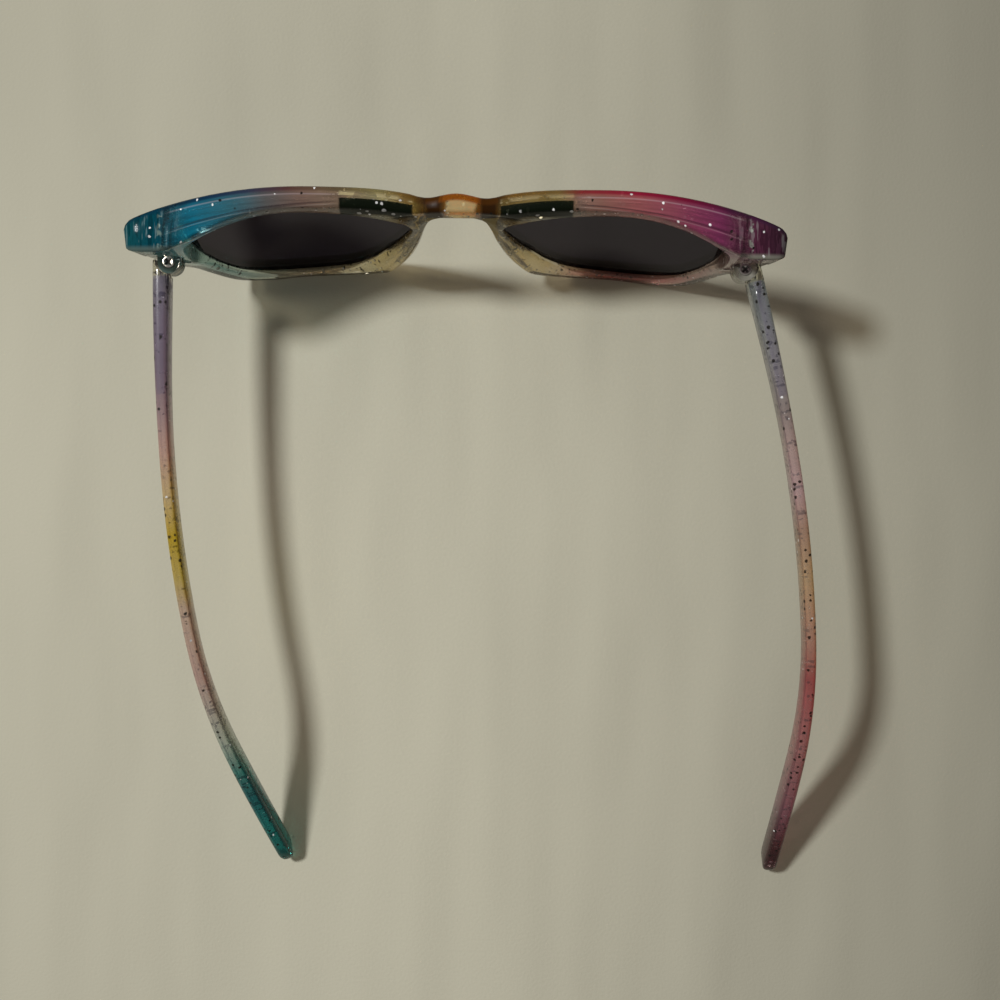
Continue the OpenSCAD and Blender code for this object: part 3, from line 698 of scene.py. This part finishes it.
def floor_cloth(name):
    """A pale woven floor with shallow folds, with painted shade a little dimmer to both sides and ahead."""
    n = Nodes(name)
    weave = n.noise(n.place, 1300, 2)
    folds = n.noise(n.vector(n.times(n.x, 2.2), n.times(n.y, 0.6), 0.0), 5, 3)
    stains = n.noise(n.place, 22, 3)
    base = n.mix(stains, linear(FLOOR_RGB), linear(FLOOR_RGB, 0.965))
    base = n.mix(n.times(weave, 0.25), base, linear(FLOOR_RGB, 0.86))
    # Painted shade: darker to the right, to the left and ahead
    base = n.mix(n.smooth(n.x, *PAINTED_SHADE_RIGHT), base, linear(FLOOR_RGB, 0.8))
    base = n.mix(n.less(n.smooth(n.x, *PAINTED_SHADE_LEFT)), base, linear(FLOOR_RGB, 0.93))
    base = n.mix(n.smooth(n.y, *PAINTED_SHADE_AHEAD), base, n.shade(base, grey(0.85)))
    relief = n.bump(weave, 0.3, 0.2 * MM, n.bump(folds, 0.7, 14 * MM))
    return n.finish(n.principled(Base_Color=base, Roughness=0.9, Normal=relief, Specular_IOR_Level=0.2))


def smooth_copy(node, name, body, material, bevel=0, second=None, is_second=None):
    """A copy of a CAD node with its seams joined and its curved faces shaded smooth.
    Faces that pass the test is_second take the second material."""
    obj = frame["nodes"][node].copy()
    obj.data = obj.data.copy()
    for key in list(obj.keys()):
        del obj[key]
    obj.name = name
    obj.data.name = name
    obj.parent = None
    obj.matrix_world = Matrix.Identity(4)
    bpy.context.scene.collection.objects.link(obj)
    obj.data.materials.clear()
    obj.data.materials.append(material)
    mesh = bmesh.new()
    mesh.from_mesh(obj.data)
    bmesh.ops.remove_doubles(mesh, verts=mesh.verts, dist=WELD)
    bmesh.ops.recalc_face_normals(mesh, faces=mesh.faces)
    if bevel:
        limit = math.radians(BEVEL_ANGLE)
        sharp = [e for e in mesh.edges if e.is_manifold and e.calc_face_angle() > limit]
        bmesh.ops.bevel(mesh, geom=sharp, offset=bevel, segments=2, profile=0.5, affect="EDGES",
                        clamp_overlap=True)
    if second:
        obj.data.materials.append(second)
        for face in mesh.faces:
            face.material_index = 1 if is_second(face) else 0
    mesh.to_mesh(obj.data)
    mesh.free()
    obj.data.shade_smooth()
    obj.data.set_sharp_from_angle(angle=math.radians(SMOOTH_ANGLE))
    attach(obj, body)
    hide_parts(node)
    return obj


def is_lens_edge(face):
    return abs(face.normal.y) < EDGE_LOOK


def in_recess(face):
    """Inside the cross of a screw's head, under its top."""
    at = face.calc_center_median()
    near = min(math.hypot(at.x - pin[0], at.y - pin[1]) for pin in PINS.values())
    low, high = RECESS_UP
    return near < RECESS_R * MM and low * MM < at.z < high * MM


def inside(tree, point):
    """True if the point lies inside the closed mesh of the tree."""
    crossings = 0
    start = point.copy()
    way = RAY.normalized()
    for _ in range(MOST_WALLS):
        hit = tree.ray_cast(start, way)[0]
        if hit is None:
            break
        crossings += 1
        start = hit + way * RAY_STEP
    return crossings % 2 == 1


def keeps_room(tree, point, room):
    """True if the point lies inside the mesh and the room, in mm, away from its surface."""
    return tree.find_nearest(point)[3] >= room * MM and inside(tree, point)


def flake_corners(middle, turn, size, radii):
    """The corners of a thin plate, its lower face first, with a share of size for each radius."""
    rings = []
    for level in (-FLAKE_HALF * MM, FLAKE_HALF * MM):
        for k, radius in enumerate(radii):
            angle = 2 * k * math.pi / FLAKE_SIDES
            corner = Vector((size * radius * math.cos(angle), size * radius * math.sin(angle), level))
            rings.append(middle + turn @ corner)
    return rings[:FLAKE_SIDES], rings[FLAKE_SIDES:]


def add_plate(mesh, low, high, layer, value):
    """A closed plate between two rings of corners, with a value on its corners."""
    low = [mesh.verts.new(corner) for corner in low]
    high = [mesh.verts.new(corner) for corner in high]
    for v in low + high:
        v[layer] = value
    mesh.faces.new(low[::-1])
    mesh.faces.new(high)
    for k in range(len(low)):
        after = (k + 1) % len(low)
        mesh.faces.new([low[k], low[after], high[after], high[k]])


def glitter(source, name, body, material, count, seed):
    """Thin flakes scattered inside a moulding, near its surface."""
    rng = random.Random(seed)
    mesh = source.data
    tree = BVHTree.FromPolygons([v.co for v in mesh.vertices], [p.vertices for p in mesh.polygons])
    polygons = list(mesh.polygons)
    areas = [p.area for p in polygons]
    total = bmesh.new()
    shade = total.verts.layers.float.new("flake_shade")
    made = 0
    tries = 0
    while made < count and tries < FLAKE_TRIES * count:
        tries += 1
        p = rng.choices(polygons, weights=areas)[0]
        a, b, c = [mesh.vertices[i].co for i in p.vertices[:3]]
        s, t = rng.random(), rng.random()
        if s + t > 1:
            s, t = 1 - s, 1 - t
        point = a + (b - a) * s + (c - a) * t - p.normal * rng.uniform(*FLAKE_DEPTH) * MM
        size = rng.uniform(*FLAKE_R) * MM
        facing = (p.normal + Vector([rng.gauss(0, FLAKE_TILT) for _ in range(3)])).normalized()
        turn = facing.to_track_quat("Z", "Y").to_matrix() @ Matrix.Rotation(rng.uniform(0, math.pi), 3, "Z")
        if not keeps_room(tree, point, FLAKE_ROOM):
            continue
        value = 1.0 if rng.random() < BRIGHT_FLAKES else 0.0
        radii = [rng.uniform(*FLAKE_RAGGED) for _ in range(FLAKE_SIDES)]
        low, high = flake_corners(point, turn, size, radii)
        if all(keeps_room(tree, corner, CORNER_ROOM) for corner in low + high):
            add_plate(total, low, high, shade, value)
            made += 1
    data = bpy.data.meshes.new(name)
    total.to_mesh(data)
    total.free()
    obj = bpy.data.objects.new(name, data)
    bpy.context.scene.collection.objects.link(obj)
    data.materials.append(material)
    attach(obj, body)
    return obj


front_plastic = front_clear()
left_plastic = temple_clear("left")
right_plastic = temple_clear("right")
lens_tint = smoke_lens("smoke_lens")
lens_rim = lens_edge("smoke_lens_edge")
screw_steel = steel("screw_steel", light=0.75)
# Painted shade: the cross in a screw's head is steel darkened to stand in for the shade in its recess
shaded_recess_steel = steel("screw_recess", light=0.12)
foil = glitter_foil("glitter_foil")

front = smooth_copy("front_frame", "front_moulding", "front", front_plastic)
left = smooth_copy("left_temple", "left_temple_moulding", "left_temple", left_plastic)
right = smooth_copy("right_temple", "right_temple_moulding", "right_temple",
                    right_plastic)
for side in SIDES:
    smooth_copy(f"{side}_lens", f"{side}_lens_smooth", "front", lens_tint,
                second=lens_rim, is_second=is_lens_edge)
    smooth_copy(f"{side}_hinge_screw", f"{side}_screw_bright", "front", screw_steel,
                bevel=SCREW_BEVEL * MM, second=shaded_recess_steel, is_second=in_recess)
    data = frame["nodes"][f"{side}_hinge_nut"].data
    data.materials.clear()
    data.materials.append(screw_steel)

glitter(front, "front_glitter", "front", foil, count=700, seed=11)
glitter(left, "left_temple_glitter", "left_temple", foil, count=240, seed=12)
glitter(right, "right_temple_glitter", "right_temple", foil, count=240, seed=13)

# The floor under the object
bpy.ops.mesh.primitive_plane_add(size=FLOOR_SIZE, location=(0, 0, -FLOOR_DROP))
floor = bpy.context.object
floor.name = "floor"
floor.data.materials.append(floor_cloth("floor_cloth"))

lamp_data = bpy.data.lights.new("lamp", "AREA")
lamp_data.shape = "DISK"
lamp_data.size = LAMP_WIDTH
lamp_data.energy = LAMP_POWER
lamp_data.color = LAMP_COLOR
lamp = bpy.data.objects.new("lamp", lamp_data)
lamp.location = LAMP_AT
lamp.rotation_euler = (LAMP_TO - LAMP_AT).to_track_quat("-Z", "Y").to_euler()
lamp.visible_transmission = False
bpy.context.scene.collection.objects.link(lamp)

world = bpy.data.worlds.new("sky")
world.use_nodes = True
sky = world.node_tree.nodes["Background"]
sky.inputs["Color"].default_value = SKY_COLOR
sky.inputs["Strength"].default_value = SKY_STRENGTH
bpy.context.scene.world = world

camera_data = bpy.data.cameras.new("camera")
camera_data.sensor_width = SENSOR
camera_data.lens = FOCAL * SENSOR
camera_data.clip_start = CAMERA_NEAR
camera = bpy.data.objects.new("camera", camera_data)
camera.location = CAMERA_AT
camera.rotation_euler = (0, 0, CAMERA_ROLL)
bpy.context.scene.collection.objects.link(camera)
bpy.context.scene.camera = camera
bpy.context.scene.view_settings.view_transform = "Standard"
